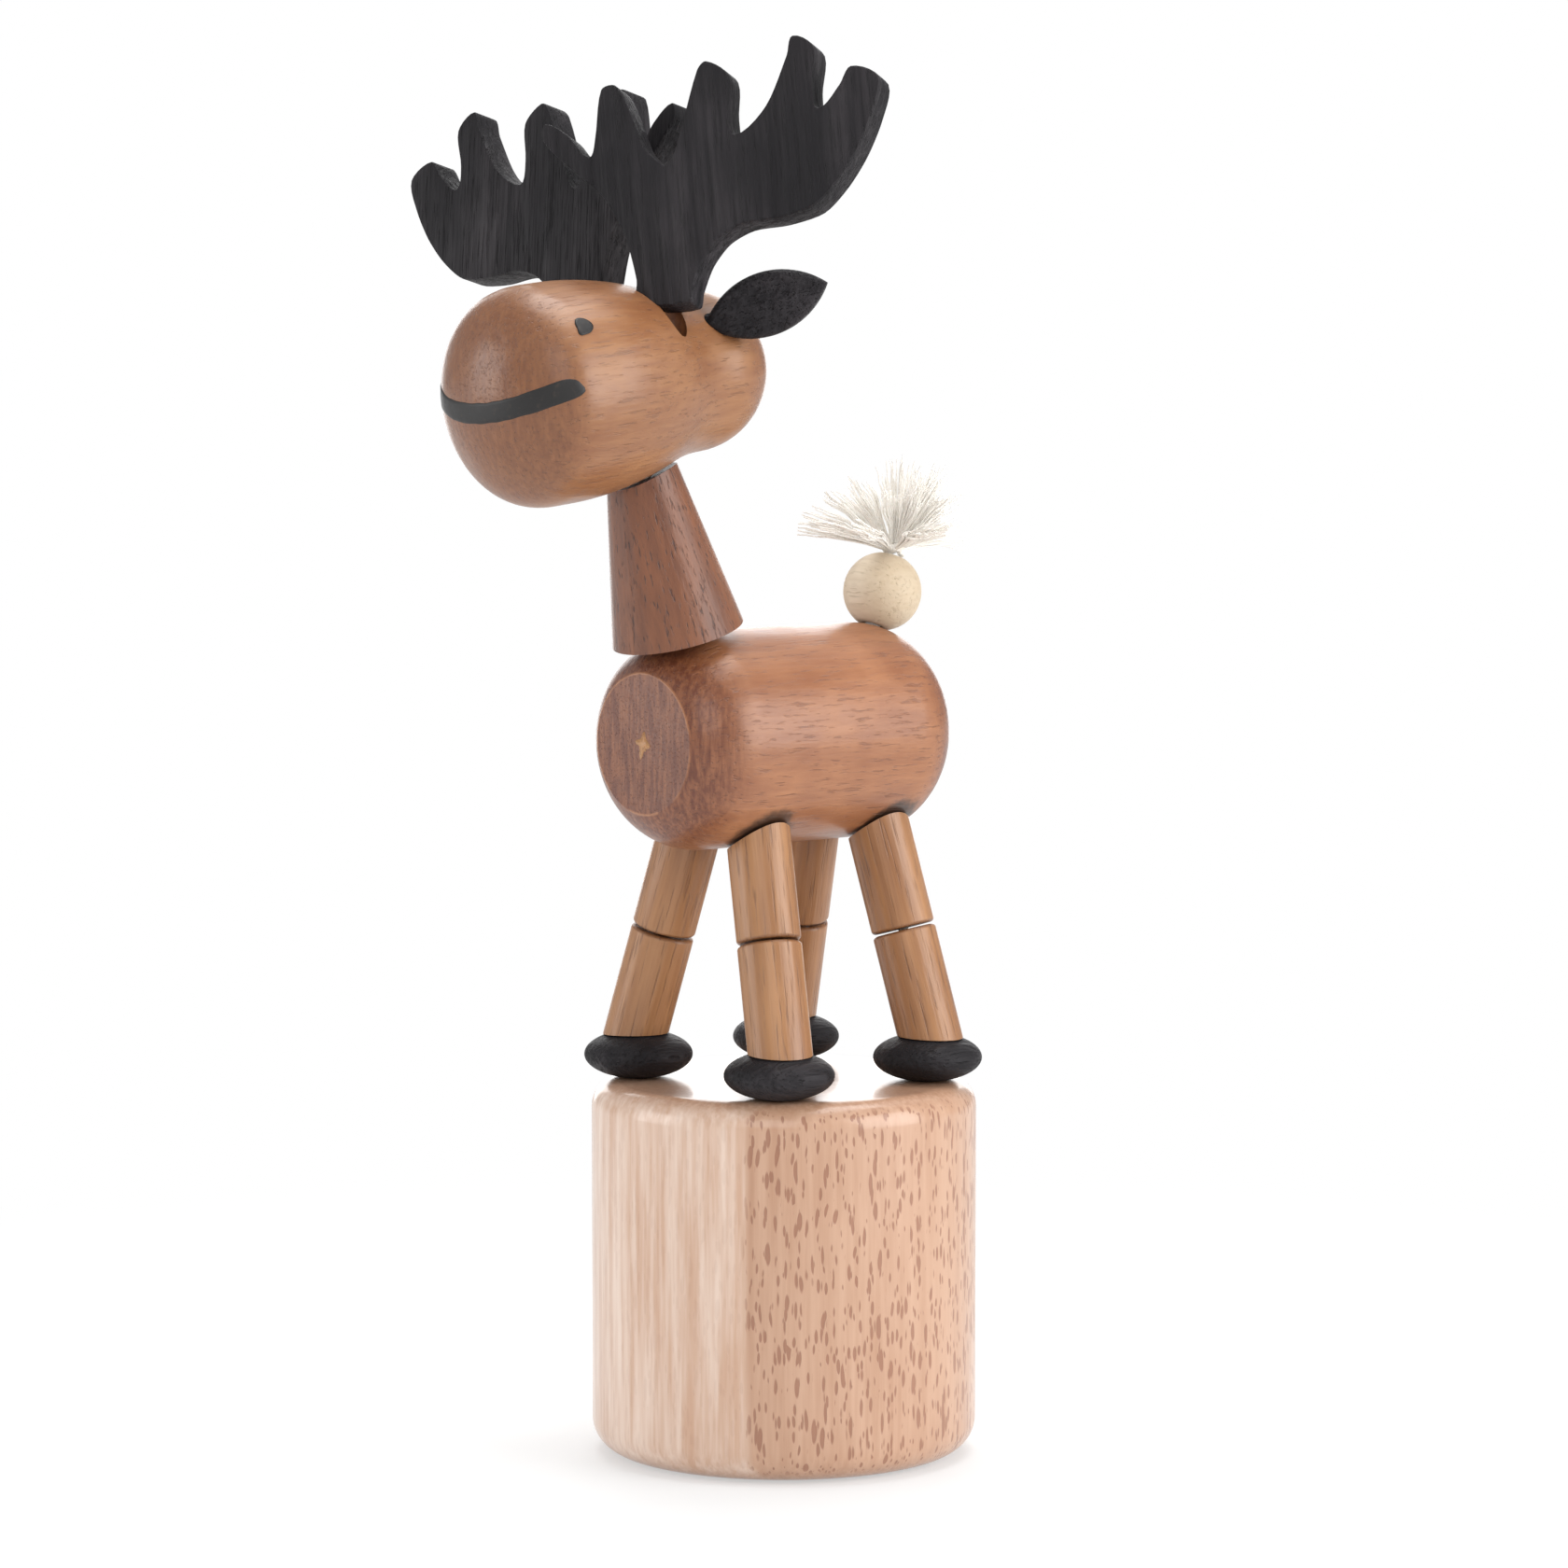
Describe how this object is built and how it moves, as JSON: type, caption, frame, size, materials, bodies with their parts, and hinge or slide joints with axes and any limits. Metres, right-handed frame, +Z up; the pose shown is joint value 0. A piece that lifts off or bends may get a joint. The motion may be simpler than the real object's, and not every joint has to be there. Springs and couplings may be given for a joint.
{
  "type": "push puppet",
  "caption": "Wooden push puppet of a smiling moose: strung beads on a round base, held up by cords and a sprung push button underneath.",
  "frame": {"origin": "centre of the base's underside", "axes": "+X to the figure's left, +Y to its rear, +Z up"},
  "size_m": [0.0503, 0.0569, 0.1274],
  "materials": {
    "beech": "clear satin lacquer over bare beech",
    "brown_wood": "brown stain, satin lacquer",
    "tan_wood": "tan stain, satin lacquer",
    "neck_wood": "reddish brown stain, satin lacquer",
    "black_wood": "black stain, matt, with open grain",
    "pale_wood": "unstained, matt",
    "cotton": "undyed twisted cotton",
    "spring_steel": "bright spring wire"
  },
  "bodies": {
    "base": {"base_housing": "beech", "return_spring": "spring_steel", "leg_cord_front_left": "cotton", "leg_cord_front_right": "cotton", "leg_cord_rear_left": "cotton", "leg_cord_rear_right": "cotton"},
    "button": {"push_button": "beech", "cord_pegs": "pale_wood"},
    "hoof_front_left": {"hoof_front_left": "black_wood"},
    "lower_leg_front_left": {"lower_leg_front_left": "tan_wood"},
    "upper_leg_front_left": {"upper_leg_front_left": "tan_wood"},
    "hoof_front_right": {"hoof_front_right": "black_wood"},
    "lower_leg_front_right": {"lower_leg_front_right": "tan_wood"},
    "upper_leg_front_right": {"upper_leg_front_right": "tan_wood"},
    "hoof_rear_left": {"hoof_rear_left": "black_wood"},
    "lower_leg_rear_left": {"lower_leg_rear_left": "tan_wood"},
    "upper_leg_rear_left": {"upper_leg_rear_left": "tan_wood"},
    "hoof_rear_right": {"hoof_rear_right": "black_wood"},
    "lower_leg_rear_right": {"lower_leg_rear_right": "tan_wood"},
    "upper_leg_rear_right": {"upper_leg_rear_right": "tan_wood"},
    "body": {"body_barrel": "brown_wood"},
    "neck": {"neck": "neck_wood", "neck_cord": "cotton"},
    "head": {"head": "brown_wood", "head_peg": "pale_wood", "antler_left": "black_wood", "antler_right": "black_wood", "ear_left": "black_wood", "ear_right": "black_wood"},
    "tail": {"tail_bead": "pale_wood", "tail_knot": "cotton", "tail_tuft": "cotton", "tail_cord": "cotton"}
  },
  "joints": [
    {"name": "button_push", "type": "slide", "parent": "base", "child": "button", "axis": [0, 0, 1], "range_m": [0, 0.01], "stiffness_N_per_m": 150, "springref_m": -0.012, "deforming": ["return_spring"]},
    {"name": "hoof_tip_front_left", "type": "hinge", "parent": "base", "child": "hoof_front_left", "pos_m": [0.0096, -0.01068, 0.034], "axis": [1, 0, 0], "range_deg": [0, 3], "deforming": ["leg_cord_front_left"]},
    {"name": "ankle_front_left", "type": "hinge", "parent": "hoof_front_left", "child": "lower_leg_front_left", "pos_m": [0.00952, -0.01208, 0.03919], "axis": [1, 0, 0], "range_deg": [0, 7]},
    {"name": "knee_front_left", "type": "hinge", "parent": "lower_leg_front_left", "child": "upper_leg_front_left", "pos_m": [0.00712, -0.01113, 0.04791], "axis": [1, 0, 0], "range_deg": [0, 7]},
    {"name": "hoof_tip_front_right", "type": "hinge", "parent": "base", "child": "hoof_front_right", "pos_m": [-0.0096, -0.01068, 0.034], "axis": [1, 0, 0], "range_deg": [0, 3], "deforming": ["leg_cord_front_right"]},
    {"name": "ankle_front_right", "type": "hinge", "parent": "hoof_front_right", "child": "lower_leg_front_right", "pos_m": [-0.00952, -0.01208, 0.03919], "axis": [1, 0, 0], "range_deg": [0, 7]},
    {"name": "knee_front_right", "type": "hinge", "parent": "lower_leg_front_right", "child": "upper_leg_front_right", "pos_m": [-0.00712, -0.01113, 0.04791], "axis": [1, 0, 0], "range_deg": [0, 7]},
    {"name": "body_bow", "type": "hinge", "parent": "base", "child": "body", "pos_m": [0, -0.01205, 0.04705], "axis": [1, 0, 0], "range_deg": [0, 26]},
    {"name": "hip_rear_left", "type": "hinge", "parent": "body", "child": "upper_leg_rear_left", "pos_m": [0.00486, 0.00451, 0.05608], "axis": [1, 0, 0], "range_deg": [-8, 0], "deforming": ["leg_cord_rear_left"]},
    {"name": "knee_rear_left", "type": "hinge", "parent": "upper_leg_rear_left", "child": "lower_leg_rear_left", "pos_m": [0.00726, 0.00526, 0.04736], "axis": [1, 0, 0], "range_deg": [-4, 0]},
    {"name": "ankle_rear_left", "type": "hinge", "parent": "lower_leg_rear_left", "child": "hoof_rear_left", "pos_m": [0.00966, 0.00601, 0.03865], "axis": [1, 0, 0], "range_deg": [-5, 0]},
    {"name": "hip_rear_right", "type": "hinge", "parent": "body", "child": "upper_leg_rear_right", "pos_m": [-0.00486, 0.00451, 0.05608], "axis": [1, 0, 0], "range_deg": [-8, 0], "deforming": ["leg_cord_rear_right"]},
    {"name": "knee_rear_right", "type": "hinge", "parent": "upper_leg_rear_right", "child": "lower_leg_rear_right", "pos_m": [-0.00726, 0.00526, 0.04736], "axis": [1, 0, 0], "range_deg": [-4, 0]},
    {"name": "ankle_rear_right", "type": "hinge", "parent": "lower_leg_rear_right", "child": "hoof_rear_right", "pos_m": [-0.00966, 0.00601, 0.03865], "axis": [1, 0, 0], "range_deg": [-5, 0]},
    {"name": "neck_nod", "type": "hinge", "parent": "body", "child": "neck", "pos_m": [0, -0.01361, 0.07466], "axis": [1, 0, 0], "range_deg": [0, 16], "deforming": ["neck_cord"]},
    {"name": "head_nod", "type": "hinge", "parent": "neck", "child": "head", "pos_m": [0, -0.0199, 0.08817], "axis": [1, 0, 0], "range_deg": [0, 12]},
    {"name": "tail_flop", "type": "hinge", "parent": "body", "child": "tail", "pos_m": [0, 0.01193, 0.07431], "axis": [1, 0, 0], "range_deg": [-18, 0], "deforming": ["tail_cord"]}
  ],
  "couplings": [
    {"joint": "hoof_tip_front_left", "follows": "button_push", "rad_per_m": 5.2334},
    {"joint": "ankle_front_left", "follows": "button_push", "rad_per_m": 12.211},
    {"joint": "knee_front_left", "follows": "button_push", "rad_per_m": 12.211},
    {"joint": "hoof_tip_front_right", "follows": "button_push", "rad_per_m": 5.2334},
    {"joint": "ankle_front_right", "follows": "button_push", "rad_per_m": 12.211},
    {"joint": "knee_front_right", "follows": "button_push", "rad_per_m": 12.211},
    {"joint": "body_bow", "follows": "button_push", "rad_per_m": 45.356},
    {"joint": "hip_rear_left", "follows": "button_push", "rad_per_m": -13.956},
    {"joint": "knee_rear_left", "follows": "button_push", "rad_per_m": -6.9778},
    {"joint": "ankle_rear_left", "follows": "button_push", "rad_per_m": -8.7223},
    {"joint": "hip_rear_right", "follows": "button_push", "rad_per_m": -13.956},
    {"joint": "knee_rear_right", "follows": "button_push", "rad_per_m": -6.9778},
    {"joint": "ankle_rear_right", "follows": "button_push", "rad_per_m": -8.7223},
    {"joint": "neck_nod", "follows": "button_push", "rad_per_m": 27.911},
    {"joint": "head_nod", "follows": "button_push", "rad_per_m": 20.933},
    {"joint": "tail_flop", "follows": "button_push", "rad_per_m": -31.4}
  ]
}
